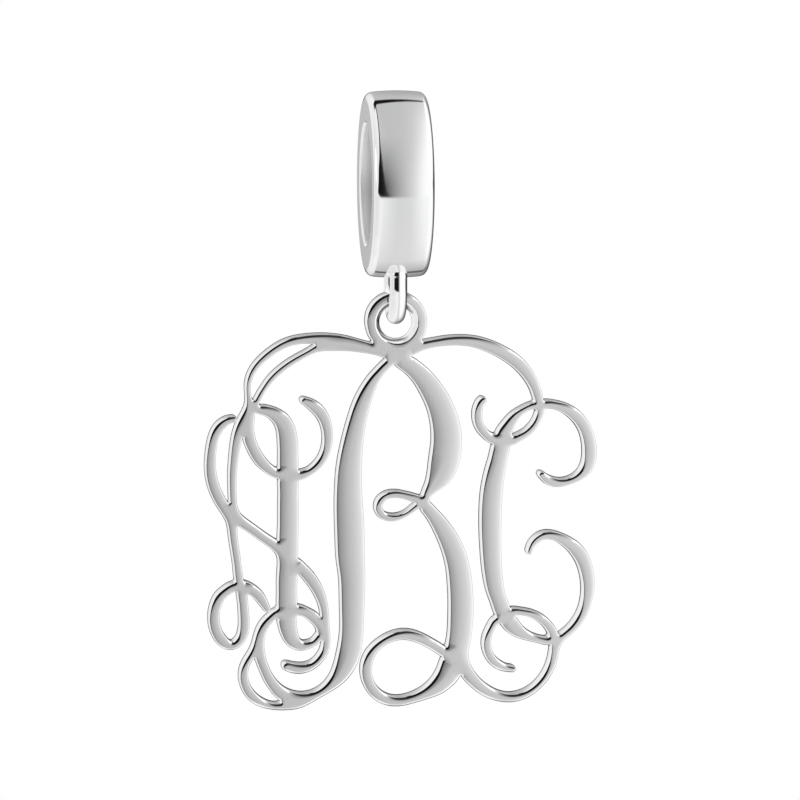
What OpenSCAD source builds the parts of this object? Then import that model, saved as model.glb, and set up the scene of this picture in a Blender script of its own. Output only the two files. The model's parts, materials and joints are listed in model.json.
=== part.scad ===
// Initial pendant: a slide-on bead with a soldered wire loop, and a pierced monogram that swings on it.
// Millimetres. The origin is the middle of the bead's bore. X is the bore's axis, Z is up,
// and the monogram hangs in the XZ plane with its front towards -Y.

/* [Bead] */
// Outside diameter of the bead at the crown of its band
bead_d = 7.45; // [6.6:0.05:9]
// Diameter of the bore that the bracelet or chain passes through
bore_d = 4.8; // [3.4:0.1:5.2]
// Width of the bead along the bore
bead_w = 2.4; // [1.6:0.1:4]
// How far the band rises from its edges to its crown
band_crown = 0.05; // [0.01:0.01:0.15]
// Rounding of the two outside edges
bead_edge_r = 0.3; // [0.1:0.05:0.5]
// Rounding of the bore's two mouths
bore_edge_r = 0.1; // [0.05:0.01:0.2]

/* [Wire loop] */
// Thickness of the loop's wire
wire_d = 0.7; // [0.5:0.05:0.9]
// Distance between the middles of the loop's two legs
loop_w = 2.67; // [2.3:0.01:3.2]
// How far the loop's lowest point lies below the bead
loop_drop = 1.86; // [1.7:0.01:3]
// How deep the legs are sunk and soldered into the bead
leg_sink = 0.7; // [0.4:0.05:0.8]

/* [Monogram] */
// Width of the drawn letters, edge to edge
monogram_w = 15.7; // [13:0.1:20]
// Height of the drawn letters, without the ring
monogram_h = 15.06; // [13:0.1:20]
// Thickness of the monogram's plate and ring
plate_t = 1.2; // [0.8:0.05:1.3]
// Width of the heaviest stroke, the stem of the middle letter
heavy_w = 1.15; // [0.9:0.01:1.4]

/* [Hanging ring] */
// Diameter of the ring's hole
ring_hole_d = 1.34; // [1.3:0.01:1.6]
// Width of the ring's metal, seen from the front
ring_band = 0.58; // [0.4:0.01:0.6]
// Rounding of the hole's two edges, which clears the curve of the wire
ring_hole_round = 0.35; // [0.3:0.01:0.39]
// Rounding of the ring's outside edges
ring_edge_r = 0.12; // [0.04:0.01:0.15]
// Play between the wire and the top of the hole
hang_gap = 0.07; // [0.06:0.01:0.15]

/* [Hidden] */

// Facets of a full turn, and of a quarter turn of a small rounding
round_fn = 96;
corner_steps = 4;

// Lengths that the driving sizes give
bead_r = bead_d / 2;
bore_r = bore_d / 2;
wire_r = wire_d / 2;
loop_r = loop_w / 2;
loop_low = -bead_r - loop_drop;
loop_mid = loop_low + wire_r + loop_r;
leg_top = -bead_r + leg_sink;
ring_hole_r = ring_hole_d / 2;
ring_r = ring_hole_r + ring_band;
ring_z = loop_low + wire_d + hang_gap - ring_hole_r;
// Middle of the flat on the ring's face, where the plate's strokes end
ring_flat_r = (ring_hole_r + ring_hole_round + ring_r - ring_edge_r) / 2;

// The letters are drawn on a square grid, counted from the middle of the ring.
// X is the squares to the right, DROP the squares down, WIDTH the stroke's width in squares.
X = 0;
DROP = 1;
WIDTH = 2;
GRID_W = 392;
GRID_H = 376;
GRID_HEAVY = 28.3;
square_x = monogram_w / GRID_W;
square_z = monogram_h / GRID_H;
square_wide = heavy_w / GRID_HEAVY;
// Longest chord along a stroke's curve
chord = 0.45;
// Growth of the drawn outline that welds the short pieces of the strokes together
weld = 0.005;

// Left letter, from the ring out to the left and down
A_ARC = [
    [-0.5, 34, 14], [-15.5, 28, 12], [-29.5, 25, 12], [-50.5, 20.5, 15], [-70.5, 19.5, 18]
];
A_ARC_OUTER = [
    [-69.5, 17, 13], [-78.5, 16, 11], [-96.5, 16.5, 8.6], [-112.5, 21, 8], [-130, 32.5, 7],
    [-142.3, 45.5, 6.2], [-148, 59, 5.8], [-148.2, 70, 6], [-146, 80, 7]
];
A_ARC_INNER = [
    [-69.5, 21, 10], [-76.5, 23, 7.6], [-88.5, 29.8, 6.4], [-101.2, 36.4, 6.4],
    [-116.8, 47.4, 6.2], [-127.8, 58.6, 6], [-135.8, 71, 5.8], [-141, 81, 6]
];
A_STEM = [
    [-145.5, 82, 7], [-137.5, 85.5, 9], [-125.5, 88.5, 12.5], [-112.8, 98.5, 17], [-108.6, 116, 19.6],
    [-107.8, 140, 19.8], [-107.8, 165, 19.8], [-107.8, 190, 19.8], [-108.2, 215, 20],
    [-108.2, 236, 20], [-109.2, 258, 20], [-109.2, 278, 20], [-109.2, 295, 19], [-107.5, 308, 17.6],
    [-101.5, 319, 14], [-92.5, 322.5, 9.8], [-83, 319.5, 7], [-76.5, 313, 8]
];
A_BULGE = [
    [-103.5, 238, 12], [-94.5, 245, 12.6], [-86, 255, 13], [-78, 268, 11.1], [-73, 282, 9.2],
    [-71.5, 294, 8], [-71, 306, 8], [-70, 318, 8.4], [-72, 328, 8.1], [-78.5, 338, 8.1],
    [-87.5, 344, 8.5], [-97.5, 345.5, 10.4], [-106.5, 343.5, 11], [-109.5, 342.5, 10]
];
A_BRIDGE = [
    [-105.5, 285, 9.9], [-96.5, 286.5, 10.5], [-89.5, 289, 10.8], [-82, 294.5, 11.7],
    [-76.5, 302, 10.2], [-75.5, 308, 8]
];
A_CURL = [
    [-145.5, 88, 9], [-147, 103, 10], [-147, 112, 12], [-145.3, 120, 12], [-136, 136.5, 12.3],
    [-124, 147.5, 10.4], [-108.5, 152.5, 9.9], [-94.5, 151, 9.3], [-86.5, 148, 7.9],
    [-78, 141, 8], [-70.5, 128, 8.6], [-68.5, 113, 9.9], [-71, 98.5, 11.2], [-78, 86.5, 12],
    [-88, 79.5, 9.9], [-92, 77.5, 8]
];
A_LEG = [
    [-143.5, 80, 8], [-149.5, 89, 9], [-155.5, 102, 10], [-159.5, 116, 10], [-162, 133, 8.8],
    [-163.6, 150, 8.4], [-163.6, 166, 8], [-162.7, 183, 8.3], [-163, 193, 9.9], [-163.5, 208, 9.5],
    [-161, 225, 8.8], [-158.3, 246, 9], [-156.8, 258, 9]
];
A_TICK = [
    [-162.5, 95, 7.5], [-169, 96.5, 8.2], [-175.5, 101, 9], [-181.5, 111.5, 9.8],
    [-184.2, 125, 10.1], [-185.5, 140, 10.8], [-184, 155.5, 11.5], [-179, 170, 12.3],
    [-172.5, 182, 12.3], [-164.5, 194, 12]
];
A_BAR = [
    [-159.5, 194, 11.7], [-145.5, 204, 10.8], [-130.5, 215, 10.7], [-118.5, 223.5, 11.5],
    [-109.5, 231, 11.5]
];
A_FOOT = [
    [-156, 260, 9.4], [-166, 263.8, 9.8], [-176.8, 272.5, 10], [-181.5, 286, 10.8], [-182, 298, 11.2],
    [-178.8, 309.5, 11.8], [-170.5, 319.5, 11.4], [-163, 321.5, 9], [-156.2, 316, 9.2],
    [-152.4, 307, 10.2], [-152, 295, 10.6], [-153, 281, 10.2], [-154.3, 268, 10.4], [-156.5, 258, 9]
];
A_FOOT_TICK = [
    [-155.5, 261, 11.6], [-146, 264.5, 11.9], [-138.5, 270, 11.6], [-133.5, 278, 9.6],
    [-129.5, 284.5, 8]
];

// The swash under the left letter, which runs up into the middle letter's stem
SWASH_INNER = [
    [-112.5, 285, 8.2], [-122, 290.5, 8.8], [-130.8, 299, 9.3], [-136.6, 311, 10.2],
    [-138, 325, 12], [-134.2, 339, 10.6], [-130.5, 349, 10.6], [-124, 360, 12], [-114, 370.5, 13.9],
    [-98.5, 377.5, 17]
];
SWASH_OUTER = [
    [-137.5, 321, 8], [-142.6, 328, 8], [-148.2, 336, 7.8], [-152.2, 344, 8.3], [-153, 353, 9],
    [-150, 364, 9.8], [-141.5, 374.8, 10.6], [-129.5, 381, 8], [-116.5, 382.8, 8.5], [-98.5, 378, 16]
];

// Middle letter
B_STEM = [
    [-2.5, 34, 12], [-7.5, 40, 9], [-21, 54, 10.5], [-32.5, 76.5, 15.6], [-39, 97.5, 18],
    [-44, 122, 21.2], [-47, 147, 24.5], [-47.5, 176.5, 26.9], [-46.5, 202, 28.3], [-45.5, 238, 27.4],
    [-44, 252, 25.6], [-44, 281, 23.9], [-44.5, 310, 22.3], [-46.5, 326, 23], [-50, 339, 21.6],
    [-57, 353, 17], [-68.5, 364.5, 10.6], [-82.5, 372.5, 10], [-98, 378, 16]
];
B_UPPER_BOWL = [
    [-0.5, 34, 14.5], [6.5, 39, 16.8], [22.5, 51, 19.6], [36, 69.5, 23.6], [44.5, 86, 26],
    [50, 108, 28.8], [50.3, 124, 29.4], [48, 138, 29.4], [44.3, 151, 25.6], [38, 161.5, 17.5],
    [31.3, 170, 9.6], [27.5, 179, 8]
];
B_EYE = [
    [27.5, 179, 9], [14.5, 174.5, 8.6], [7, 172.5, 8.1], [-1.5, 171, 7.5], [-12, 173.5, 6.8],
    [-18.5, 182.5, 7.8], [-15.5, 192, 10], [-7, 195, 7.5], [1, 195, 6], [10.5, 191, 5.5],
    [18.5, 185, 5.8], [27.5, 179, 7]
];
B_LOWER_BOWL = [
    [26.5, 179, 10], [30.5, 185.5, 13.3], [41, 198.5, 16.3], [52.5, 218, 20.5], [60.5, 239, 22.5],
    [64, 263, 23.6], [65, 287, 24.1], [63.5, 312, 23.2], [61, 328, 23], [56.8, 342, 24.5],
    [48.8, 357.3, 22], [36.5, 367.8, 15.5], [22.8, 374, 11], [8.5, 378.5, 10.3], [-3.5, 379, 10.8],
    [-15.3, 374.8, 12], [-26, 364, 11.2], [-29.8, 352.8, 11.2], [-29.8, 342, 11],
    [-26.3, 331.5, 9.2], [-18.5, 322.8, 8.6], [-7, 315.5, 9], [8.5, 312, 10.4], [21.5, 315.3, 11.5],
    [35.5, 322, 11.3], [47.5, 330, 11]
];

// Right letter, from the ring out to the right and down
C_ARC = [
    [-0.5, 34, 14], [14.5, 27, 12], [29.5, 22.3, 9.2], [44.5, 19.5, 9.4], [59.5, 18.5, 10],
    [74.5, 19.3, 11], [86.5, 22.3, 12.2], [98.8, 27.2, 12.9], [110.2, 33.5, 13.5],
    [120.3, 40.5, 13.5], [128.4, 49, 12.8], [134.9, 58.6, 11.8], [139.8, 68.8, 10.6],
    [142.6, 79, 9.4], [143.8, 86, 8]
];
C_CURL = [
    [140.5, 84.5, 9], [151.5, 83, 9], [161.5, 84.4, 9.9], [170.5, 88.3, 11.3], [179.7, 95, 12.9],
    [186.9, 104, 13], [191.8, 115.4, 13], [193.8, 128, 13.7], [193, 140.5, 13], [189, 150.2, 10.6],
    [181.8, 156.2, 8], [171.5, 160.3, 7.4], [161.5, 162, 8.4], [154, 160.3, 10], [148.5, 156.5, 9],
    [145.5, 153.5, 8]
];
C_SPINE = [
    [142.5, 83.5, 9], [132.5, 85.5, 6.4], [122.8, 90.8, 7.6], [115.8, 97.8, 10.2],
    [110, 107.3, 13.5], [106.3, 118, 17], [104.5, 128, 17.6], [102, 138, 17.8], [99.7, 148, 18.8],
    [97.7, 158, 19.6], [96.2, 168, 20.6], [95.2, 178, 20.8], [94.6, 193, 21], [94.5, 208, 20.8],
    [95, 228, 19.8], [96.3, 248, 19], [99.2, 268, 17.6], [102.7, 279, 17], [106.3, 289, 17],
    [112, 299, 17], [119, 307.6, 16], [125.5, 312.3, 12.5], [132.5, 315, 9.2], [141.5, 318.5, 8.4],
    [150.5, 320.3, 8.6], [158.5, 319, 9]
];
C_LENS = [
    [144, 82, 9], [143.8, 90.5, 7.7], [141, 98.5, 7.2], [136.7, 105.8, 7.2], [130.2, 111.5, 7.6],
    [122, 116.3, 8.6], [112.5, 120, 10]
];
C_TICK = [
    [86.5, 78.5, 7.7], [83.2, 82.5, 8], [81, 89.2, 8.2], [81, 96, 8.5], [82.6, 103.2, 9.2],
    [86, 109.2, 10], [91, 114.2, 10], [98.5, 117.8, 11]
];
C_HOOK = [
    [105.5, 295.5, 8], [98.2, 301, 7.3], [93.5, 309.2, 7.6], [90.5, 319, 8.2], [91, 328.2, 8.6],
    [94.6, 336.4, 9.2], [100.8, 343, 9.4], [108, 346.6, 8.3], [116.5, 348, 7.3]
];
C_UNDER = [
    [107.5, 291, 8.4], [116.5, 290, 7.8], [125.5, 290.2, 7.4], [134.5, 292.3, 7.8],
    [143.4, 296.4, 9], [151.5, 303.2, 9.8], [156.8, 311.5, 10], [159.3, 321, 10], [159, 330.2, 9.2],
    [157, 339.4, 9], [154, 348.6, 8.6], [149, 357.2, 8.2], [141.5, 365.6, 8], [131.8, 372.5, 8.5],
    [120.6, 376.5, 9.2], [110.3, 377, 9.8], [100.2, 374.5, 11], [91.2, 370.3, 12.3],
    [82.2, 364, 12.8], [74.2, 355.6, 13.5], [66.5, 343, 15]
];
C_BOWL = [
    [133, 230.5, 6], [134.6, 225.3, 6], [138.6, 219.3, 6.4], [144.5, 215.2, 7.3], [151.3, 213.3, 8.3],
    [158.2, 214.6, 9.3], [165.8, 218.4, 11], [173.5, 223, 13], [181, 229.8, 14.8], [187.6, 240.5, 14.5],
    [191.1, 253.3, 13.4], [192.6, 266, 12.2], [191.1, 278.3, 10.8], [188.2, 289.6, 9.4],
    [182.3, 300.4, 8.8], [174.8, 309.2, 8.5], [166.2, 316.2, 8.5], [157.5, 320.5, 9]
];

STROKES = [
    A_ARC, A_ARC_OUTER, A_ARC_INNER, A_STEM, A_BULGE, A_BRIDGE, A_CURL, A_LEG, A_TICK, A_BAR,
    A_FOOT, A_FOOT_TICK, SWASH_INNER, SWASH_OUTER, B_STEM, B_UPPER_BOWL, B_EYE, B_LOWER_BOWL,
    C_ARC, C_CURL, C_SPINE, C_LENS, C_TICK, C_HOOK, C_UNDER, C_BOWL
];

// A row of a stroke in millimetres, in the plane of the plate, with the ring's middle at the origin
function drawn(row) = [row[X] * square_x, -row[DROP] * square_z, row[WIDTH] * square_wide];

// The smooth curve through p1 and p2, with p0 and p3 as their outer neighbours
function smooth(p0, p1, p2, p3, t) =
    0.5 * (2 * p1 + (p2 - p0) * t + (2 * p0 - 5 * p1 + 4 * p2 - p3) * t * t
        + (3 * p1 - p0 - 3 * p2 + p3) * t * t * t);

// The point of a plate, without its width
function flat(p) = [p[0], p[1]];

// How many chords the span from p to q takes
function chords(p, q) = max(1, ceil(norm(flat(q) - flat(p)) / chord));

// All points along a stroke, each with its width
function curve(rows) =
    let (pts = [for (row = rows) drawn(row)], last = len(pts) - 1)
    concat(
        [for (i = [0:last - 1])
            let (n = chords(pts[i], pts[i + 1]))
            for (k = [0:n - 1])
                smooth(pts[max(i - 1, 0)], pts[i], pts[i + 1], pts[min(i + 2, last)], k / n)],
        [pts[last]]);

// The point at one side of the curve, square to its run
function side_point(line, i, side) =
    let (before = line[max(i - 1, 0)],
         after = line[min(i + 1, len(line) - 1)],
         run = flat(after) - flat(before),
         square_to = [-run[1], run[0]] / norm(run))
    flat(line[i]) + side * line[i][WIDTH] / 2 * square_to;

// One stroke: a short piece for each chord, and a round end at each end
module stroke(rows) {
    line = curve(rows);
    last = len(line) - 1;
    for (i = [0:last - 1])
        polygon([
            side_point(line, i, 1),
            side_point(line, i + 1, 1),
            side_point(line, i + 1, -1),
            side_point(line, i, -1)
        ]);
    for (end = [line[0], line[last]])
        translate(flat(end)) circle(d = end[WIDTH], $fn = 24);
}

// Points of a quarter turn about a middle, from one heading to another
function corner(mid, r, from, to) =
    [for (k = [0:corner_steps])
        let (heading = from + (to - from) * k / corner_steps)
        mid + r * [cos(heading), sin(heading)]];

// Half the bead's section, as [distance from the bore's axis, place along it]
module bead_section() {
    half = bead_w / 2;
    edge_r = bead_r - band_crown;
    polygon(concat(
        corner([bore_r + bore_edge_r, -half + bore_edge_r], bore_edge_r, 180, 270),
        corner([edge_r - bead_edge_r, -half + bead_edge_r], bead_edge_r, -90, 0),
        [[bead_r, -half / 4], [bead_r, half / 4]],
        corner([edge_r - bead_edge_r, half - bead_edge_r], bead_edge_r, 0, 90),
        corner([bore_r + bore_edge_r, half - bore_edge_r], bore_edge_r, 90, 180)
    ));
}

// The section of the ring's metal, as [distance from the hole's axis, place through the plate]
module ring_section() {
    half = plate_t / 2;
    polygon(concat(
        corner([ring_hole_r + ring_hole_round, -half + ring_hole_round], ring_hole_round, 180, 270),
        corner([ring_r - ring_edge_r, -half + ring_edge_r], ring_edge_r, -90, 0),
        corner([ring_r - ring_edge_r, half - ring_edge_r], ring_edge_r, 0, 90),
        corner([ring_hole_r + ring_hole_round, half - ring_hole_round], ring_hole_round, 90, 180)
    ));
}

// The bead with its wire loop, soldered into one solid
module charm_bead() {
    color("silver") union() {
        rotate([0, 90, 0]) rotate_extrude($fn = round_fn) bead_section();
        translate([0, 0, loop_mid]) {
            rotate([0, -90, 0]) rotate([0, 0, 90])
                rotate_extrude(angle = 180, $fn = round_fn) translate([loop_r, 0]) circle(r = wire_r, $fn = 32);
            for (side = [-1, 1])
                translate([0, side * loop_r, 0]) cylinder(r = wire_r, h = leg_top - loop_mid, $fn = 32);
        }
    }
}

// The pierced monogram with its hanging ring, one piece of metal
module monogram() {
    color("silver") translate([0, 0, ring_z]) rotate([90, 0, 0]) union() {
        linear_extrude(plate_t, center = true) offset(delta = weld) difference() {
            for (rows = STROKES) stroke(rows);
            circle(r = ring_flat_r, $fn = 48);
        }
        rotate_extrude($fn = round_fn) ring_section();
    }
}

charm_bead();
monogram();
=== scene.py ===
import json
import math

import bmesh
import bpy
import numpy as np
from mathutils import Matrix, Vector
from mathutils.bvhtree import BVHTree
from mathutils.geometry import delaunay_2d_cdt
from mathutils.interpolate import poly_3d_calc


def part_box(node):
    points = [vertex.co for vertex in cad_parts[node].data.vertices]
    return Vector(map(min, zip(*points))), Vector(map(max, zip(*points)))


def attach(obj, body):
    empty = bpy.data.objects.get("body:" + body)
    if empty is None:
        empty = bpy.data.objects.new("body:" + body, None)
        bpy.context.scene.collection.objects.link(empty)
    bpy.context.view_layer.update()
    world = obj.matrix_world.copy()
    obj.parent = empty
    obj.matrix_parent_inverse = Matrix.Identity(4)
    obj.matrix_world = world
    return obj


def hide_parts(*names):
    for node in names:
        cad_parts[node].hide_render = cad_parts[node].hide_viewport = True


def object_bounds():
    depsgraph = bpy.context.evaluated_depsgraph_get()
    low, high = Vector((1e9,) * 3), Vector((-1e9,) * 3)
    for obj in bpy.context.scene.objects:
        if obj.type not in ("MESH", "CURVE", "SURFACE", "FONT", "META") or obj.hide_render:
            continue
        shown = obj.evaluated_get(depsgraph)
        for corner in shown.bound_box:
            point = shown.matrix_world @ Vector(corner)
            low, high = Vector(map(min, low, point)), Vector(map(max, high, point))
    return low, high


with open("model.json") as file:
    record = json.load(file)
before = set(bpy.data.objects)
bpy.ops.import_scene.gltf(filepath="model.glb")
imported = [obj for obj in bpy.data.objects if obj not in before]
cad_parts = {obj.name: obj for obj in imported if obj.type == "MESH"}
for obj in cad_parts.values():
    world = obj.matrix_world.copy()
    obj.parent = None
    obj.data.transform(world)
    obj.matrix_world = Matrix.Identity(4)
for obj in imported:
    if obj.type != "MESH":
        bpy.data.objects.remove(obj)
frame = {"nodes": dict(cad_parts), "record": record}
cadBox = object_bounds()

# Initial pendant: a polished slide-on bead with a wire loop, and a pierced monogram that swings on it.
# The shapes are worked out in millimetres and turned to metres when a mesh is made.

metre = 0.001  # one millimetre, in metres
tiny = 1e-9    # keeps a division away from nought

for old in [o for o in bpy.data.objects if o.type in {"CAMERA", "LIGHT"}]:
    bpy.data.objects.remove(old)


# mesh helpers

def newPiece(name, points, faces):
    mesh = bpy.data.meshes.new(name)
    mesh.from_pydata([Vector(p) * metre for p in points], [], faces)
    mesh.validate()
    mesh.polygons.foreach_set("use_smooth", [True] * len(mesh.polygons))
    mesh.update()
    piece = bpy.data.objects.new(name, mesh)
    bpy.context.scene.collection.objects.link(piece)
    return piece


def stripBetween(first, second, count):
    # quads between two closed rows of points, each given by the number of its first point
    return [(first + i, first + (i + 1) % count, second + (i + 1) % count, second + i)
            for i in range(count)]


# outline of the monogram, cut from its solid half way through the plate

outline = {
    "weldUnder": 0.0005,       # points of the solid closer than this are one
    "planeWithin": 0.00001,    # a point this near the cut lies in it
    "scrapUnder": 6,           # a cut loop with fewer points is a scrap
    "doublesUnder": 0.012,     # cut points closer than this are one
    "straightUnder": 0.0003,   # and points that stray less than this from a straight run go
    "cornerOver": 58,          # degrees of turn that make a crotch between two strokes
    "fineStep": 0.03,          # spacing of the smooth curve
    "softenBy": 0.04,          # rounding of the crotches, as a spread along the curve
    "fairBy": 0.34,            # and of the long runs between them
    "tightTurn": 62,           # a run that turns more degrees than this
    "tightWithin": 0.3,        # over this length is a crotch or a stroke's end
    "leastStep": 0.017,        # final spacing in the tightest turns
    "mostStep": 0.13,          # and on the straightest runs
    "stepPerRadius": 0.2,
    "stepsAlike": 4,           # the spacing is as fine this many points away from a tight turn
    "fewestPoints": 12,        # of a loop
    "blurReach": 3.5,          # how many spreads away a point still counts in the rounding
    "heldIn": 0.006,           # the outside stays this far within the cut one
}


def cutLoops(node):
    work = bmesh.new()
    work.from_mesh(frame["nodes"][node].data)
    bmesh.ops.scale(work, vec=(1 / metre,) * 3, verts=work.verts)
    bmesh.ops.remove_doubles(work, verts=work.verts, dist=outline["weldUnder"])
    everything = work.verts[:] + work.edges[:] + work.faces[:]
    bmesh.ops.bisect_plane(work, geom=everything, dist=outline["planeWithin"], plane_co=(0, 0, 0),
                           plane_no=(0, 1, 0), clear_inner=True, clear_outer=True)
    bmesh.ops.remove_doubles(work, verts=work.verts, dist=outline["weldUnder"])
    loops = []
    # walked from the leftmost point left, so that every run finds the same points in the same order
    waiting = {v: (v.co.x, v.co.z) for v in work.verts}
    while waiting:
        run = [min(waiting, key=waiting.get)]
        del waiting[run[0]]
        while True:
            ahead = [e.other_vert(run[-1]) for e in run[-1].link_edges]
            ahead = [v for v in ahead if v in waiting]
            if not ahead:
                break
            run.append(min(ahead, key=waiting.get))
            del waiting[run[-1]]
        if len(run) >= outline["scrapUnder"]:
            loops.append(np.array([(v.co.x, v.co.z) for v in run]))
    work.free()
    return loops


def areaOf(loop):
    after = np.roll(loop, -1, 0)
    return 0.5 * float(np.sum(loop[:, 0] * after[:, 1] - after[:, 0] * loop[:, 1]))


def metalOnLeft(loops):
    # the outside runs anticlockwise and every opening clockwise
    loops = sorted(loops, key=lambda loop: -abs(areaOf(loop)))
    turned = []
    for number, loop in enumerate(loops):
        right = areaOf(loop) > 0 if number == 0 else areaOf(loop) < 0
        turned.append(loop if right else loop[::-1])
    return turned


def cleaned(loop):
    kept = [loop[0]]
    for point in loop[1:]:
        if np.linalg.norm(point - kept[-1]) > outline["doublesUnder"]:
            kept.append(point)
    if np.linalg.norm(kept[-1] - kept[0]) < outline["doublesUnder"]:
        kept.pop()
    points = []
    for i, here in enumerate(kept):
        before = points[-1] if points else kept[-1]
        chord = kept[(i + 1) % len(kept)] - before
        off = here - before
        away = abs(chord[0] * off[1] - chord[1] * off[0]) / max(np.linalg.norm(chord), tiny)
        if away > outline["straightUnder"] or np.dot(chord, off) < 0:
            points.append(here)
    return np.array(points)


def turnsOf(loop):
    before = loop - np.roll(loop, 1, 0)
    after = np.roll(loop, -1, 0) - loop
    cross = before[:, 0] * after[:, 1] - before[:, 1] * after[:, 0]
    return np.degrees(np.arctan2(cross, (before * after).sum(1)))


def curveThrough(loop):
    # a smooth curve through the cut points, broken only at the crotches
    corner = np.abs(turnsOf(loop)) > outline["cornerOver"]
    count = len(loop)
    dense = []
    for i in range(count):
        start = loop[i]
        end = loop[(i + 1) % count]
        earlier = 2 * start - end if corner[i] else loop[i - 1]
        later = 2 * end - start if corner[(i + 1) % count] else loop[(i + 2) % count]
        span = math.sqrt(np.linalg.norm(end - start))
        spanBefore = math.sqrt(np.linalg.norm(start - earlier))
        spanAfter = math.sqrt(np.linalg.norm(later - end))
        leave = span * ((start - earlier) / spanBefore - (end - earlier) / (spanBefore + span)
                        + (end - start) / span)
        arrive = span * ((end - start) / span - (later - start) / (span + spanAfter)
                         + (later - end) / spanAfter)
        pieces = max(1, math.ceil(span * span / (outline["fineStep"] / 2)))
        for k in range(pieces):
            t = k / pieces
            dense.append((2 * t ** 3 - 3 * t ** 2 + 1) * start + (t ** 3 - 2 * t ** 2 + t) * leave
                         + (3 * t ** 2 - 2 * t ** 3) * end + (t ** 3 - t ** 2) * arrive)
    return np.array(dense)


def resampled(loop, steps):
    # points along the loop, closer where steps, the wished spacing at each point, is small
    lengths = np.linalg.norm(np.roll(loop, -1, 0) - loop, axis=1)
    weights = lengths / (0.5 * (steps + np.roll(steps, -1)))
    reach = np.concatenate([[0], np.cumsum(weights)])
    count = max(outline["fewestPoints"], int(round(reach[-1])))
    wanted = np.arange(count) * reach[-1] / count
    closed = np.vstack([loop, loop[:1]])
    return np.column_stack([np.interp(wanted, reach, closed[:, axis]) for axis in (0, 1)])


def blurred(values, spread):
    # rounds a closed row of values, spread being counted in its own points
    reach = max(1, int(math.ceil(outline["blurReach"] * spread)))
    offsets = np.arange(-reach, reach + 1)
    weights = np.exp(-0.5 * (offsets / spread) ** 2)
    weights /= weights.sum()
    total = np.zeros_like(values)
    for offset, weight in zip(offsets, weights):
        total += weight * np.roll(values, -offset, 0)
    return total


def faired(loop):
    # takes small waves out of the long runs, and leaves the crotches and the ends of the strokes
    step = outline["fineStep"]
    half = int(round(outline["tightWithin"] / step / 2))
    turned = np.sum([np.roll(turnsOf(loop), k) for k in range(-half, half + 1)], axis=0)
    tight = (np.abs(turned) > outline["tightTurn"]).astype(float)
    near = np.max([np.roll(tight, k) for k in range(-2 * half, 2 * half + 1)], axis=0)
    keep = blurred(near, half)[:, None]
    once = blurred(loop, outline["fairBy"] / step)
    fair = 2 * once - blurred(once, outline["fairBy"] / step)  # the second pass undoes the shrinking
    return keep * loop + (1 - keep) * fair


def inwardOf(loop):
    along = np.roll(loop, -1, 0) - np.roll(loop, 1, 0)
    along /= np.linalg.norm(along, axis=1)[:, None]
    return np.column_stack([-along[:, 1], along[:, 0]])


def smoothOutline(loop):
    fine = curveThrough(cleaned(loop))
    fine = resampled(fine, np.full(len(fine), outline["fineStep"]))
    fine = faired(blurred(fine, outline["softenBy"] / outline["fineStep"]))
    turn = np.radians(np.abs(turnsOf(fine)))
    lengths = np.linalg.norm(np.roll(fine, -1, 0) - fine, axis=1)
    radius = lengths / np.maximum(turn, tiny)
    steps = np.clip(outline["stepPerRadius"] * radius, outline["leastStep"], outline["mostStep"])
    near = outline["stepsAlike"]
    least = np.min([np.roll(steps, k) for k in range(-near, near + 1)], axis=0)
    return resampled(fine, blurred(least, near / 2))


loops = [smoothOutline(loop) for loop in metalOnLeft(cutLoops("monogram"))]
loops[0] += outline["heldIn"] * inwardOf(loops[0])
print("outline:", len(loops), "loops,", sum(len(loop) for loop in loops), "points")


# monogram: a pierced plate with softly domed strokes and rolled edges

monogramLook = {
    # from the middle of the wall to the face, as (how far in from the outline, how far under the face)
    "edgeProfile": [(0, 0.55), (0.003, 0.42), (0.009, 0.28), (0.017, 0.16), (0.025, 0.07), (0.029, 0.04),
                    (0.036, 0.014), (0.043, 0.003), (0.05, 0.0005), (0.066, 0)],
    # the edges that face up and to the left are rolled wider
    "wideProfile": [(0, 0.55), (0.003, 0.42), (0.009, 0.28), (0.017, 0.16), (0.025, 0.075), (0.031, 0.045),
                    (0.042, 0.024), (0.07, 0.0125), (0.1, 0.005), (0.135, 0)],
    "wideHeading": (-0.3, 0.954),
    "wideFrom": 0.4,       # how far an edge faces this heading, or the low one, where the change begins
    "wideFull": 0.8,       # and where it is full
    # and the plate's lowest edges are worn rounder
    "lowProfile": [(0, 0.55), (0.008, 0.4), (0.02, 0.27), (0.035, 0.165), (0.049, 0.095), (0.061, 0.055),
                   (0.076, 0.028), (0.092, 0.011), (0.11, 0.003), (0.13, 0)],
    "lowHeading": (0.25, -0.968),
    "lowFrom": -17.5,      # the height where this begins
    "lowFull": -19.5,      # and where it is full
    # the ring's hole is bevelled deeper, which clears the curve of the wire
    "holeProfile": [(0, 0.5), (0.01, 0.4), (0.04, 0.3), (0.08, 0.2), (0.13, 0.1), (0.165, 0.045),
                    (0.19, 0.012), (0.22, 0)],
    "holeRadius": 0.67,    # the ring's hole is the loop of this radius
    "holeWithin": 0.05,
    "rollShare": 0.8,      # a roll takes at most this share of the way to the ridge
    "edgeSlope": 3.6,      # degrees that the face leans where it meets the rolled edge
    "domeReach": 0.6,      # the doming reaches this far in from the edge at most
    "ridgeShare": 0.96,    # share of a stroke's half width that the doming takes
    "domeSteps": 5,        # facets of the doming
    "widest": 9,           # no stroke's half width is more than this
    "leastAcross": 0.06,   # a point nearer than this is on the same side of the stroke
    "leastDepth": 0.0001,
    "widthAlike": 2,       # a half width is as small as those of this many neighbours
    "widthSoft": 1.5,
    "widthBatch": 500,     # points measured at a time
    "fillWithin": 1e-7,    # points of the ridge rows closer than this are one
}

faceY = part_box("monogram")[0].y / metre  # the front face, and its mirror image is the back
hinge = frame["record"]["behaviour"]["joints"][0]["pos_m"]
ringMiddle = np.array([hinge[0], hinge[2]]) / metre


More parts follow.
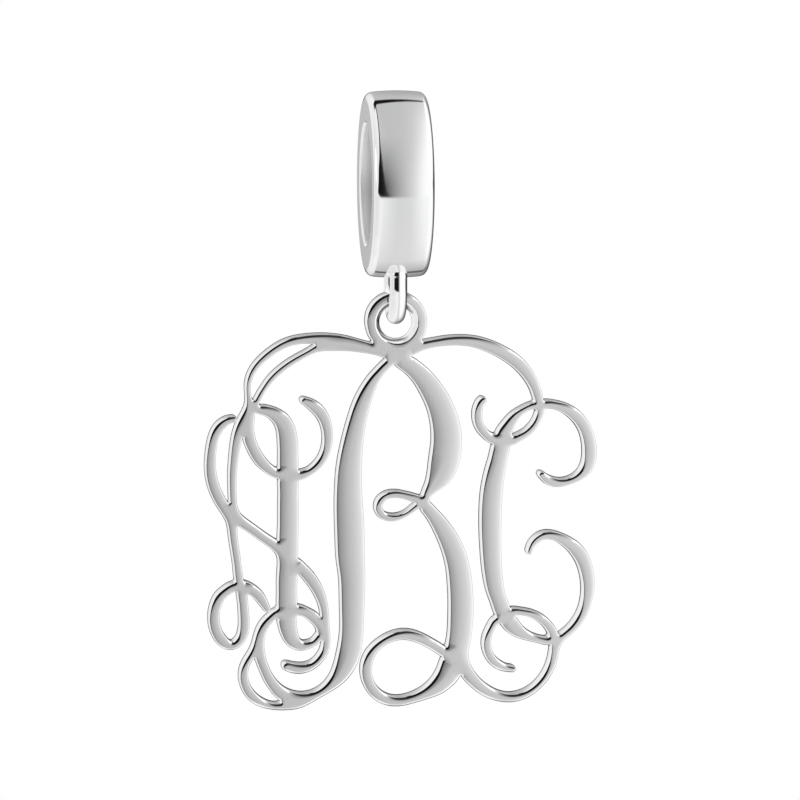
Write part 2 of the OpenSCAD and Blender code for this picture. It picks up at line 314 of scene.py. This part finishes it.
def halfWidths(loops):
    # the largest circle that touches the outline at each point and lies inside the metal
    look = monogramLook
    batch = look["widthBatch"]
    alike = range(-look["widthAlike"], look["widthAlike"] + 1)
    points = np.vstack(loops)
    inward = np.vstack([inwardOf(loop) for loop in loops])
    found = np.empty(len(points))
    for first in range(0, len(points), batch):
        here = points[first:first + batch]
        gap = points[None, :, :] - here[:, None, :]
        square = (gap ** 2).sum(2)
        depth = (gap * inward[first:first + batch][:, None, :]).sum(2)
        usable = (depth > look["leastDepth"]) & (square > look["leastAcross"] ** 2)
        radii = np.where(usable, square / np.where(usable, 2 * depth, 1), look["widest"])
        found[first:first + batch] = radii.min(1)
    widths = []
    start = 0
    for loop in loops:
        own = found[start:start + len(loop)]
        start += len(loop)
        own = np.min([np.roll(own, k) for k in alike], axis=0)
        widths.append(blurred(own, look["widthSoft"]))
    return widths


def platePoints(loops, widths):
    # rows of points from the middle of each wall up over the rolled edge to the ridge of the stroke
    look = monogramLook
    slope = math.tan(math.radians(look["edgeSlope"]))
    rows = []
    for loop, width in zip(loops, widths):
        inward = inwardOf(loop)
        away = np.linalg.norm(loop - ringMiddle, axis=1).mean()
        isHole = abs(away - look["holeRadius"]) < look["holeWithin"]
        reach = np.minimum(look["domeReach"], look["ridgeShare"] * width)
        wide, low = [np.clip((-inward @ np.array(look[heading]) - look["wideFrom"])
                             / (look["wideFull"] - look["wideFrom"]), 0, 1)
                     for heading in ("wideHeading", "lowHeading")]
        low *= np.clip((loop[:, 1] - look["lowFrom"]) / (look["lowFull"] - look["lowFrom"]), 0, 1)
        shares = (1 - wide - low, wide, low)
        profiles = [look[name] for name in ("edgeProfile", "wideProfile", "lowProfile")]
        if isHole:
            profiles = [look["holeProfile"]] * 3
        rolled = sum(share * profile[-1][0] for share, profile in zip(shares, profiles))
        fits = np.minimum(1, look["rollShare"] * reach / rolled)  # a thin stroke has a smaller roll
        levels = []
        for places in zip(*profiles):
            inside = fits * sum(share * place[0] for share, place in zip(shares, places))
            drop = sum(share * place[1] for share, place in zip(shares, places))
            levels.append((inside, drop + slope * reach / 2 * (1 - inside / reach) ** 2))
        rolled = fits * rolled
        for i in range(1, look["domeSteps"] + 1):
            inside = rolled + (reach - rolled) * i / look["domeSteps"]
            levels.append((inside, slope * reach / 2 * (1 - inside / reach) ** 2))
        rows.append([(loop + inward * inside[:, None], drop) for inside, drop in levels])
    return rows


def buildMonogram():
    widths = halfWidths(loops)
    rows = platePoints(loops, widths)
    points = []
    faces = []
    ridges = []
    for side in (1, -1):
        for loop, levels in zip(loops, rows):
            count = len(loop)
            for number, (flat, drop) in enumerate(levels):
                first = len(points)
                height = side * (faceY + drop)
                points.extend(zip(flat[:, 0], height * np.ones(count), flat[:, 1]))
                if number:
                    strip = stripBetween(first - count, first, count)
                    faces.extend(strip if side == 1 else [f[::-1] for f in strip])
            ridges.append((side, len(points) - count, count))
    # the walls run from the front's first row to the back's
    perSide = len(points) // 2
    first = 0
    for loop, levels in zip(loops, rows):
        count = len(loop)
        faces.extend(stripBetween(first + perSide, first, count))
        first += count * len(levels)
    faces.extend(insideFaces(points, ridges))
    return newPiece("monogram_plate", points, faces)


def insideFaces(points, ridges):
    # fills what the ridge rows leave open on each face
    faces = []
    for side in (1, -1):
        own = [(first, count) for which, first, count in ridges if which == side]
        numbers = [n for first, count in own for n in range(first, first + count)]
        flat = [Vector((points[n][0], points[n][2])) for n in numbers]
        edges = []
        start = 0
        for first, count in own:
            edges.extend((start + i, start + (i + 1) % count) for i in range(count))
            start += count
        made = delaunay_2d_cdt(flat, edges, [], 0, monogramLook["fillWithin"])
        places = np.array([tuple(p) for p in made[0]])
        triangles = np.array(made[2])
        source = [numbers[origin[0]] if origin else None for origin in made[3]]
        segments = np.array([[flat[a], flat[b]] for a, b in edges])
        middles = places[triangles].mean(1)
        inside = insideOf(middles, segments)
        for triangle, keep in zip(triangles, inside):
            corners = [source[n] for n in triangle]
            if keep and None not in corners:
                faces.append(tuple(corners if side == 1 else corners[::-1]))
    return faces


def insideOf(spots, segments):
    # even-odd test of each spot against the closed rows
    inside = np.zeros(len(spots), bool)
    for (ax, ay), (bx, by) in segments:
        crosses = (ay > spots[:, 1]) != (by > spots[:, 1])
        level = (spots[:, 1] - ay) / (by - ay) if by != ay else 0
        inside ^= crosses & (spots[:, 0] < ax + level * (bx - ax))
    return inside


monogram = buildMonogram()
print("monogram:", len(monogram.data.polygons), "faces")


# bead: a crowned band with a bore, and the wire loop soldered under it

beadLook = {
    "boreRadius": 2.4,
    "mouthRound": 0.12,     # rounding of the bore's mouths
    "edgeRound": 0.3,       # rounding of the outside edges
    "crown": 0.05,          # how far the band rises to its crown
    "turnSteps": 192,
    "mouthSteps": 6,
    "flankSteps": 6,
    "edgeSteps": 10,
    "bandSteps": 16,
    "wallSteps": 8,
    "boreShare": 0.7,       # share of the mouths' rounding that is brushed with the bore
    "wireRadius": 0.35,
    "loopRadius": 1.15,     # middle of the wire to the middle of the loop
    "legTop": -3.1,         # the legs start inside the band
    "legSteps": 14,
    "solderFlare": 0.012,   # how far the solder spreads at the bead
    "solderHeight": 0.12,
    "solderCurve": 2.2,
    "wireSteps": 32,
    "loopSteps": 48,
}


def arcPoints(middle, radius, start, end, steps):
    # points of an arc, each with the way it faces in degrees
    turns = [start + (end - start) * i / steps for i in range(steps + 1)]
    return [(middle[0] + radius * math.cos(math.radians(turn)),
             middle[1] + radius * math.sin(math.radians(turn)), turn) for turn in turns]


def beadSection():
    # the closed section as (distance from the axis, place along it, the way it faces in degrees)
    look = beadLook
    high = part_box("charm_bead")[1]
    edge = high.z / metre - look["crown"]
    half = high.x / metre
    soft = look["edgeRound"]
    mouth = look["mouthRound"]
    bore = look["boreRadius"]
    lean = math.atan(2 * look["crown"] / (half - soft))
    run = half - soft * (1 - math.sin(lean))
    rounded = edge - soft * math.cos(lean)
    band = []
    for i in range(1, look["bandSteps"]):
        place = run * (2 * i / look["bandSteps"] - 1)
        faces = math.degrees(math.atan(2 * look["crown"] * place / run ** 2))
        band.append((edge + look["crown"] * (1 - (place / run) ** 2), place, faces))
    leaning = math.degrees(lean)
    flank = [bore + mouth + (rounded - bore - mouth) * i / look["flankSteps"]
             for i in range(1, look["flankSteps"])]
    wall = [(half - mouth) * (1 - 2 * i / look["wallSteps"]) for i in range(1, look["wallSteps"])]
    return (arcPoints((bore + mouth, -half + mouth), mouth, 180, 270, look["mouthSteps"])
            + [(out, -half, 270) for out in flank]
            + arcPoints((rounded, -half + soft), soft, -90, -leaning, look["edgeSteps"]) + band
            + arcPoints((rounded, half - soft), soft, leaning, 90, look["edgeSteps"])
            + [(out, half, 90) for out in reversed(flank)]
            + arcPoints((bore + mouth, half - mouth), mouth, 90, 180, look["mouthSteps"])
            + [(bore, along, 180) for along in wall])


def bandPoints():
    profile = beadSection()
    count = len(profile)
    steps = beadLook["turnSteps"]
    points = []
    normals = []
    faces = []
    for k in range(steps):
        angle = 2 * math.pi * k / steps
        for out, along, facing in profile:
            points.append((along, out * math.sin(angle), out * math.cos(angle)))
            outward = math.cos(math.radians(facing))
            normals.append((math.sin(math.radians(facing)), outward * math.sin(angle),
                            outward * math.cos(angle)))
        faces.extend(stripBetween(k * count, (k + 1) % steps * count, count))
    return points, faces, normals


def wirePath():
    # down one leg, round the half circle and up the other, as (place, radius of the wire there)
    look = beadLook
    radius = look["loopRadius"]
    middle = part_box("charm_bead")[0].z / metre + look["wireRadius"] + radius
    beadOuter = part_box("charm_bead")[1].z / metre
    joint = -math.sqrt(beadOuter ** 2 - radius ** 2)
    leg = []
    for i in range(look["legSteps"]):
        z = look["legTop"] + (middle - look["legTop"]) * i / look["legSteps"]
        near = max(0.0, 1 - abs(z - joint) / look["solderHeight"])
        flare = look["solderFlare"] * near ** look["solderCurve"]
        leg.append((Vector((0, -radius, z)), look["wireRadius"] + flare))
    turn = []
    for i in range(look["loopSteps"] + 1):
        angle = math.pi * i / look["loopSteps"]
        turn.append((Vector((0, -radius * math.cos(angle), middle - radius * math.sin(angle))),
                     look["wireRadius"]))
    otherLeg = [(Vector((0, radius, p.z)), r) for p, r in reversed(leg)]
    return leg + turn + otherLeg


def tubePoints(path, steps):
    points = []
    faces = []
    last = len(path) - 1
    for i, (place, radius) in enumerate(path):
        along = (path[min(i + 1, last)][0] - path[max(i - 1, 0)][0]).normalized()
        across = Vector((1, 0, 0))
        other = along.cross(across)
        for k in range(steps):
            angle = 2 * math.pi * k / steps
            points.append(tuple(place + radius * (math.cos(angle) * across + math.sin(angle) * other)))
        if i:
            faces.extend(stripBetween((i - 1) * steps, i * steps, steps))
    faces.append(tuple(range(steps))[::-1])
    faces.append(tuple(range(last * steps, (last + 1) * steps)))
    return points, faces


def outwardFaces(piece):
    work = bmesh.new()
    work.from_mesh(piece.data)
    bmesh.ops.recalc_face_normals(work, faces=work.faces)
    work.to_mesh(piece.data)
    work.free()


def shellOf(piece, normals=None):
    # what is needed to look up the smooth normal at any place on a piece, in millimetres
    mesh = piece.data
    points = [v.co / metre for v in mesh.vertices]
    faces = [tuple(p.vertices) for p in mesh.polygons]
    facing = [Vector(n) for n in normals] if normals else [v.normal.copy() for v in mesh.vertices]
    return BVHTree.FromPolygons(points, faces), points, faces, facing


def smoothNormal(shell, place):
    tree, points, faces, facing = shell
    spot, _, number, _ = tree.find_nearest(place)
    corners = faces[number]
    shares = poly_3d_calc([points[c] for c in corners], spot)
    return sum((share * facing[c] for share, c in zip(shares, corners)), Vector()).normalized()


def buildBead():
    # band and wire are fused, and each face keeps the smooth normals of the shape that it came from
    points, faces, normals = bandPoints()
    band = newPiece("charm_bead_body", points, faces)
    loop = newPiece("wire_loop", *tubePoints(wirePath(), beadLook["wireSteps"]))
    outwardFaces(band)
    outwardFaces(loop)
    shells = [shellOf(band, normals), shellOf(loop)]
    join = band.modifiers.new("solder", "BOOLEAN")
    join.operation = "UNION"
    join.solver = "EXACT"
    join.object = loop
    fused = band.evaluated_get(bpy.context.evaluated_depsgraph_get())
    mesh = bpy.data.meshes.new_from_object(fused)
    band.modifiers.clear()
    band.data = mesh
    mesh.materials.clear()
    bpy.data.objects.remove(loop)
    cornerNormals = []
    boreReach = beadLook["boreRadius"] + beadLook["boreShare"] * beadLook["mouthRound"]
    for face in mesh.polygons:
        middle = face.center / metre
        nearest = min(shells, key=lambda shell: shell[0].find_nearest(middle)[3])
        for vert in face.vertices:
            cornerNormals.append(smoothNormal(nearest, mesh.vertices[vert].co / metre))
        inBore = all(math.hypot(mesh.vertices[v].co.y, mesh.vertices[v].co.z) / metre < boreReach
                     for v in face.vertices)
        face.material_index = 1 if inBore else 0
    mesh.polygons.foreach_set("use_smooth", [True] * len(mesh.polygons))
    mesh.normals_split_custom_set(cornerNormals)
    mesh.update()
    return band


bead = buildBead()
print("bead:", len(bead.data.polygons), "faces")


# node helpers: a value is another node's socket, or a plain number or colour

white = (1, 1, 1, 1)


def node(tree, kind, **settings):
    made = tree.nodes.new(kind)
    for key, value in settings.items():
        setattr(made, key, value)
    return made


def feed(tree, socket, value):
    if isinstance(value, bpy.types.NodeSocket):
        tree.links.new(value, socket)
    else:
        socket.default_value = value


def worked(tree, operation, *values):
    made = node(tree, "ShaderNodeMath", operation=operation)
    for socket, value in zip(made.inputs, values):
        feed(tree, socket, value)
    return made.outputs[0]


def product(tree, first, *others):
    for value in others:
        first = worked(tree, "MULTIPLY", first, value)
    return first


def partsOf(tree, source):
    made = node(tree, "ShaderNodeSeparateXYZ")
    tree.links.new(source, made.inputs[0])
    return made.outputs


def dotOf(tree, source, heading):
    made = node(tree, "ShaderNodeVectorMath", operation="DOT_PRODUCT")
    tree.links.new(source, made.inputs[0])
    made.inputs[1].default_value = heading
    return made.outputs["Value"]


def shareOf(tree, source, low, high, least=0, most=1):
    # least where the source is low or less, most where it is high or more
    made = node(tree, "ShaderNodeMapRange")
    for name, value in (("From Min", low), ("From Max", high), ("To Min", least), ("To Max", most)):
        made.inputs[name].default_value = value
    tree.links.new(source, made.inputs["Value"])
    return made.outputs["Result"]


def mixed(tree, factor, first, second, **settings):
    made = node(tree, "ShaderNodeMix", data_type="RGBA", **settings)
    for name, value in (("Factor", factor), ("A", first), ("B", second)):
        feed(tree, made.inputs[name], value)
    return made.outputs["Result"]


def ramped(tree, source, stops):
    # each stop is a place and a grey or a colour
    ramp = node(tree, "ShaderNodeValToRGB")
    places = ramp.color_ramp.elements
    while len(places) > 1:
        places.remove(places[-1])
    for number, (place, value) in enumerate(stops):
        stop = places[0] if number == 0 else places.new(place)
        stop.position = place
        stop.color = (*(value if isinstance(value, tuple) else (value,) * 3), 1)
    tree.links.new(source, ramp.inputs["Fac"])
    return ramp.outputs["Color"]


def noiseOf(tree, source, scale, detail=2):
    noise = node(tree, "ShaderNodeTexNoise")
    noise.inputs["Scale"].default_value = scale
    noise.inputs["Detail"].default_value = detail
    tree.links.new(source, noise.inputs["Vector"])
    return noise.outputs["Fac"]


# polished silver, one recipe for both pieces

noiseSpan = (0.3, 0.7)  # where most of a noise's values lie

slopeLook = {
    # painted shade: the face of the plate is darker where it rolls away up and to the left, in place of a
    # dark reflection
    "upLeft": (-0.42, 0, 0.907),
    "across": (0.907, 0, 0.42),
    "acrossShare": 0.7,
    "dark": [(0, 1), (0.005, 0.8), (0.015, 0.58), (0.05, 0.42), (0.085, 0.12), (0.11, 0.06), (0.4, 0.06),
             (0.5, 0.3), (0.65, 1)],
    "onFace": [(0.6, 0), (0.78, 1)],     # by how squarely a place faces front or back
    # painted shade: the rolls that face right and down are darker, which draws a thin dark outline, and
    # the walls are not
    "downRight": (0.6, 0, -0.8),
    "paintedEdgeShade": [(0, 1), (0.46, 1), (0.56, 0.12)],
    "offWall": [(0.05, 0), (0.12, 1)],
}

# painted shade inside the bore, as greys by distance from its middle
boreLook = {
    "span": 2,             # the places below are shares of this, counted from the middle of the bore
    "greys": [(0, 0.4), (0.3, 0.5), (0.42, 0.8), (0.5, 1)],
}

clothLook = {
    "scale": 250,
    "greys": (0.985, 1),
}


# painted shade on the plate: darker slopes up and to the left, and a thin dark outline on the rolls that
# face right and down
def shadeOfSlope(tree, place):
    look = slopeLook
    normal = place.outputs["Normal"]
    aside = worked(tree, "ABSOLUTE", dotOf(tree, normal, look["across"]))
    lean = worked(tree, "MULTIPLY_ADD", aside, -look["acrossShare"], dotOf(tree, normal, look["upLeft"]))
    squarely = worked(tree, "ABSOLUTE", partsOf(tree, normal)["Y"])
    paintedEdgeShade = ramped(tree, dotOf(tree, normal, look["downRight"]), look["paintedEdgeShade"])
    paintedEdgeShade = mixed(tree, ramped(tree, squarely, look["offWall"]), white, paintedEdgeShade)
    dark = ramped(tree, lean, look["dark"])
    return mixed(tree, ramped(tree, squarely, look["onFace"]), paintedEdgeShade, dark)


def shadeOfDepth(tree, place):
    # painted shade: the bore is darker the further in from its mouths
    along = worked(tree, "ABSOLUTE", partsOf(tree, place.outputs["Object"])["X"])
    return ramped(tree, worked(tree, "DIVIDE", along, boreLook["span"] * metre), boreLook["greys"])


def shadeOfCloth(tree, place):
    # a trace of haze left by the polishing cloth
    haze = noiseOf(tree, place.outputs["Object"], clothLook["scale"])
    return ramped(tree, haze, list(zip(noiseSpan, clothLook["greys"])))


def polishedSilver(name, finish):
    material = bpy.data.materials.new(name)
    material.use_nodes = True
    tree = material.node_tree
    tree.nodes.clear()
    link = tree.links.new
    output = node(tree, "ShaderNodeOutputMaterial")
    silver = node(tree, "ShaderNodeBsdfPrincipled")
    silver.inputs["Metallic"].default_value = 1
    link(silver.outputs[0], output.inputs[0])
    place = node(tree, "ShaderNodeTexCoord")
    spot = place.outputs["Object"]

    # the faintest cool and warm patches in the metal, and worn edges that are a touch brighter
    patches = noiseOf(tree, spot, finish["patchScale"], finish["patchDetail"])
    tint = ramped(tree, patches, list(zip(noiseSpan, finish["tints"])))
    edges = node(tree, "ShaderNodeNewGeometry").outputs["Pointiness"]
    tint = mixed(tree, shareOf(tree, edges, *finish["wornFrom"]), tint, (*finish["edgeTint"], 1))
    # multiplies in the finish's shade: painted shade on the plate and in the bore, and a faint cloth haze
    # on the bead
    tint = mixed(tree, 1, tint, finish["shade"](tree, place), blend_type="MULTIPLY")
    link(tint, silver.inputs["Base Color"])

    # polish that varies slightly from place to place
    clouds = noiseOf(tree, spot, finish["cloudScale"], finish["cloudDetail"])
    link(shareOf(tree, clouds, *noiseSpan, *finish["roughness"]), silver.inputs["Roughness"])

    # hairlines left by the polishing cloth
    stretch = node(tree, "ShaderNodeMapping")
    stretch.inputs["Scale"].default_value = finish["hairStretch"]
    link(spot, stretch.inputs["Vector"])
    relief = node(tree, "ShaderNodeBump")
    relief.inputs["Strength"].default_value = finish["hairStrength"]
    relief.inputs["Distance"].default_value = finish["hairDepth"]
    link(noiseOf(tree, stretch.outputs["Vector"], finish["hairScale"]), relief.inputs["Height"])
    link(relief.outputs["Normal"], silver.inputs["Normal"])
    return material


polish = {
    "patchDetail": 3,
    "cloudDetail": 5,
    "wornFrom": (0.52, 0.62),  # how sharp an edge is where the wear begins, and where it is full
    "hairDepth": 0.00001,
}

beadFinish = {
    **polish,
    "shade": shadeOfCloth,
    "tints": ((0.90, 0.905, 0.915), (0.935, 0.93, 0.925)),
    "edgeTint": (0.96, 0.96, 0.96),
    "patchScale": 420,
    "cloudScale": 900,
    "roughness": (0.05, 0.09),
    "hairStretch": (1, 6, 6),
    "hairScale": 2500,
    "hairStrength": 0.03,
}

boreFinishAndPaintedShade = {
    **beadFinish,
    # painted shade, darker deep in the bore
    "shade": shadeOfDepth,
    "tints": ((0.95, 0.955, 0.965), (0.98, 0.975, 0.97)),
    "edgeTint": (0.93, 0.93, 0.93),
    "roughness": (0.5, 0.6),
    "hairStretch": (1, 8, 8),
    "hairStrength": 0.08,
}

plateFinishAndPaintedShade = {
    **polish,
    # painted shade on the plate's slopes and rolled edges
    "shade": shadeOfSlope,
    "tints": ((0.95, 0.955, 0.965), (0.98, 0.975, 0.97)),
    "edgeTint": (0.96, 0.96, 0.96),
    "patchScale": 300,
    "cloudScale": 700,
    "roughness": (0.06, 0.10),
    "hairStretch": (6, 6, 1),
    "hairScale": 2200,
    "hairStrength": 0.03,
}

bead.data.materials.append(polishedSilver("polished silver of the bead", beadFinish))
bead.data.materials.append(polishedSilver("brushed silver inside the bore with painted shade", boreFinishAndPaintedShade))
monogram.data.materials.append(polishedSilver("polished silver of the plate with painted shade", plateFinishAndPaintedShade))
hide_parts("charm_bead")
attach(bead, "bead")
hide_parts("monogram")
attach(monogram, "pendant")
monogram.visible_glossy = False  # its tangle of strokes would show as clutter under the bead
print("silver: bead, bore and plate")


# studio: a pale floor that curves up behind

studio = {
    "floorDrop": 19,        # the floor lies this far under the pendant, in millimetres
    "halfWidth": 900,
    "front": -800,
    "back": 800,
    "bend": 400,
    "bendSteps": 16,
    "height": 900,
    "grainScale": 60,
    "paperGreys": (0.965, 0.975),
    "paperGlow": 1.03,
}


def buildStudio():
    look = studio
    floorZ = cadBox[0].z / metre - look["floorDrop"]
    middle = (look["back"] - look["bend"], floorZ + look["bend"])
    profile = [(look["front"], floorZ), (middle[0], floorZ)]
    profile += [(y, z) for y, z, _ in arcPoints(middle, look["bend"], -90, 0, look["bendSteps"])[1:]]
    profile.append((look["back"], floorZ + look["height"]))
    points = [(x, y, z) for y, z in profile for x in (-look["halfWidth"], look["halfWidth"])]
    faces = [(2 * i, 2 * i + 1, 2 * i + 3, 2 * i + 2) for i in range(len(profile) - 1)]
    backdrop = newPiece("studio_backdrop", points, faces)
    paper = bpy.data.materials.new("studio paper")
    paper.use_nodes = True
    tree = paper.node_tree
    tree.nodes.clear()
    grain = node(tree, "ShaderNodeTexNoise")
    grain.inputs["Scale"].default_value = look["grainScale"]
    glow = node(tree, "ShaderNodeEmission")
    glow.inputs["Strength"].default_value = look["paperGlow"]
    output = node(tree, "ShaderNodeOutputMaterial")
    shade = ramped(tree, grain.outputs["Fac"], list(zip((0, 1), look["paperGreys"])))
    tree.links.new(shade, glow.inputs["Color"])
    tree.links.new(glow.outputs[0], output.inputs[0])
    backdrop.data.materials.append(paper)
    backdrop.visible_glossy = False
    backdrop.visible_diffuse = False
    backdrop.visible_shadow = False


buildStudio()


# the studio as the polished metal sees it: panels and dark gaps round the pendant, as grey levels 0 to 255

surround = {
    # by how far a direction turns to the side: -1 is square to the left, 0 ahead or behind, 1 to the right
    "ahead": [(-1, 245), (-0.2, 240), (-0.078, 94), (-0.06, 104), (0, 144), (0.05, 167), (0.105, 190),
              (0.16, 207), (0.2, 222), (0.25, 244), (0.3, 255), (1, 255)],
    "above": [(-1, 225), (-0.3, 246), (-0.16, 240), (-0.13, 205), (-0.08, 199), (-0.02, 193), (0.1, 195),
              (0.17, 203), (0.22, 219), (0.27, 242), (0.31, 255), (1, 255)],
    "below": [(-1, 225), (-0.2, 246), (-0.1, 240), (-0.03, 225), (0.05, 214), (0.15, 217), (0.2, 228),
              (0.27, 246), (0.4, 255), (1, 255)],
    "behind": [(-1, 230), (-0.4, 240), (-0.15, 228), (-0.05, 195), (0.1, 172), (0.3, 172), (0.5, 110),
               (1, 80)],
    "underBack": [(-1, 230), (-0.3, 238), (-0.15, 222), (0, 165), (0.1, 150), (0.2, 110), (0.3, 85),
                  (1, 75)],
    # the dark flag at the left reaches up this far, in degrees, at each turn to the side
    "flagTop": [(-1, -28), (-0.93, -22), (-0.88, 0), (-0.8, 14), (-0.72, 34), (-0.5, 44), (-0.3, 70),
                (-0.2, 126), (-0.118, 126), (-0.106, 60), (-0.094, 26), (-0.074, 5), (-0.06, -3),
                (-0.03, -8), (0.01, -12), (0.03, -30), (1, -30)],
    "flagSoft": 9,
    "flagGrey": 22,
    # by how far a direction tips up from straight ahead, in degrees, over the top to 180 behind
    "tableEdge": (-14.5, -11.5),
    "panelFades": (0, 66),
    "behindFrom": (134, 158),
    "underBehind": (-106, -158),
    # a dark beam overhead, which thins out to the right
    "beam": (121, 123, 131.5, 134),  # where it begins, is full, is still full and ends
    "beamTilt": 36,
    "beamLevelTo": -0.15,
    "beamFrom": (-0.5, -0.3),
    "beamGrey": 18,
    # a dark line low behind, which shows near the foot of the bead
    "footLine": (-143, -141, -137, -134),
    "footFrom": (-0.08, 0),
    "footTo": (0.5, 0.38),
    "footGrey": 90,
    # the dark corner behind the pendant, which outlines the metal against the paper
    "rim": (0.104, 0.991, -0.087),
    "rimSize": (12.3, 9.8),  # degrees from its middle where it begins, and where it is full
    "rimGrey": 40,
    "strength": 1.09,
}


def lightOf(level):
    # a screen grey as light
    share = level / 255
    return share / 12.92 if share <= 0.04045 else ((share + 0.055) / 1.055) ** 2.4


def greyOf(level):
    return (*[lightOf(level)] * 3, 1)


def turnShare(tree, source, low, high):
    return shareOf(tree, source, math.radians(low), math.radians(high))


def flagShare(tree, sideShare, tip):
    # 1 where a direction meets the dark flag, 0 clear of it
    curve = node(tree, "ShaderNodeFloatCurve")
    line = curve.mapping.curves[0]
    stops = [((side + 1) / 2, (top + 180) / 360) for side, top in surround["flagTop"]]
    line.points[0].location = stops[0]
    line.points[1].location = stops[-1]
    for place, height in stops[1:-1]:
        line.points.new(place, height)
    for point in line.points:
        point.handle_type = "VECTOR"
    curve.mapping.update()
    tree.links.new(sideShare, curve.inputs["Value"])
    under = worked(tree, "SUBTRACT", curve.outputs[0], turnShare(tree, tip, -180, 180))
    return shareOf(tree, under, 0, surround["flagSoft"] / 360)


def beamShare(tree, side, tip):
    low, full, stillFull, high = surround["beam"]
    level = worked(tree, "MAXIMUM", side, surround["beamLevelTo"])
    tilted = worked(tree, "MULTIPLY_ADD", level, -math.radians(surround["beamTilt"]), tip)
    return product(tree, turnShare(tree, tilted, low, full), turnShare(tree, tip, high, stillFull),
                   shareOf(tree, side, *surround["beamFrom"]))


def footShare(tree, side, tip):
    low, full, stillFull, high = surround["footLine"]
    return product(tree, turnShare(tree, tip, low, full), turnShare(tree, tip, high, stillFull),
                   shareOf(tree, side, *surround["footFrom"]), shareOf(tree, side, *surround["footTo"]))


def rimShare(tree, direction):
    away = worked(tree, "ARCCOSINE", dotOf(tree, direction, surround["rim"]))
    return turnShare(tree, away, *surround["rimSize"])


def buildSurround():
    world = bpy.data.worlds.new("studio surround")
    bpy.context.scene.world = world
    world.use_nodes = True
    tree = world.node_tree
    tree.nodes.clear()
    direction = node(tree, "ShaderNodeTexCoord").outputs["Generated"]
    side, back, up = partsOf(tree, direction)
    tip = worked(tree, "ARCTAN2", up, worked(tree, "MULTIPLY", back, -1))
    sideShare = shareOf(tree, side, -1, 1)
    panels = {}
    for name in ("ahead", "above", "below", "behind", "underBack"):
        stops = [((turn + 1) / 2, lightOf(level)) for turn, level in surround[name]]
        panels[name] = ramped(tree, sideShare, stops)

    whole = mixed(tree, turnShare(tree, tip, *surround["panelFades"]), panels["ahead"], panels["above"])
    whole = mixed(tree, flagShare(tree, sideShare, tip), whole, greyOf(surround["flagGrey"]))
    whole = mixed(tree, turnShare(tree, tip, *surround["tableEdge"]), panels["below"], whole)
    whole = mixed(tree, turnShare(tree, tip, *surround["behindFrom"]), whole, panels["behind"])
    whole = mixed(tree, turnShare(tree, tip, *surround["underBehind"]), whole, panels["underBack"])
    whole = mixed(tree, beamShare(tree, side, tip), whole, greyOf(surround["beamGrey"]))
    whole = mixed(tree, footShare(tree, side, tip), whole, greyOf(surround["footGrey"]))
    whole = mixed(tree, rimShare(tree, direction), whole, greyOf(surround["rimGrey"]))
    sky = node(tree, "ShaderNodeBackground")
    sky.inputs["Strength"].default_value = surround["strength"]
    tree.links.new(whole, sky.inputs["Color"])
    output = node(tree, "ShaderNodeOutputWorld")
    tree.links.new(sky.outputs[0], output.inputs[0])


buildSurround()


# camera, where the photograph was taken from, and two soft lamps

shot = {
    "azimuth": -6,
    "elevation": 5,
    "lens": 400,
    "sensor": 36,
    "fieldWidth": 31.87,    # what the frame takes in at the pendant, in millimetres
    "target": (0.18, 0, -8.62),
}

lamps = {
    "key lamp": {"azimuth": 50, "elevation": 40, "power": 0.008},
    "fill lamp": {"azimuth": -95, "elevation": 15, "power": 0.006},
}
lampDistance = 160
lampSize = 60


def aim(holder, azimuth, elevation, distance):
    a = math.radians(azimuth)
    e = math.radians(elevation)
    back = Vector((math.sin(a) * math.cos(e), -math.cos(a) * math.cos(e), math.sin(e)))
    target = Vector(shot["target"]) * metre
    holder.location = target + back * distance * metre
    holder.rotation_euler = (-back).to_track_quat("-Z", "Y").to_euler()


def buildCamera():
    camera = bpy.data.objects.new("camera", bpy.data.cameras.new("camera"))
    bpy.context.scene.collection.objects.link(camera)
    camera.data.lens = shot["lens"]
    camera.data.sensor_width = shot["sensor"]
    camera.data.clip_start = metre
    aim(camera, shot["azimuth"], shot["elevation"], shot["lens"] / shot["sensor"] * shot["fieldWidth"])
    bpy.context.scene.camera = camera


def buildLamp(name, look):
    lamp = bpy.data.lights.new(name, "AREA")
    lamp.shape = "DISK"
    lamp.size = lampSize * metre
    lamp.energy = look["power"]
    holder = bpy.data.objects.new(name, lamp)
    bpy.context.scene.collection.objects.link(holder)
    aim(holder, look["azimuth"], look["elevation"], lampDistance)


buildCamera()
for name, look in lamps.items():
    buildLamp(name, look)
bpy.context.scene.view_settings.view_transform = "Standard"
print("studio: backdrop, surround, lamps and camera")
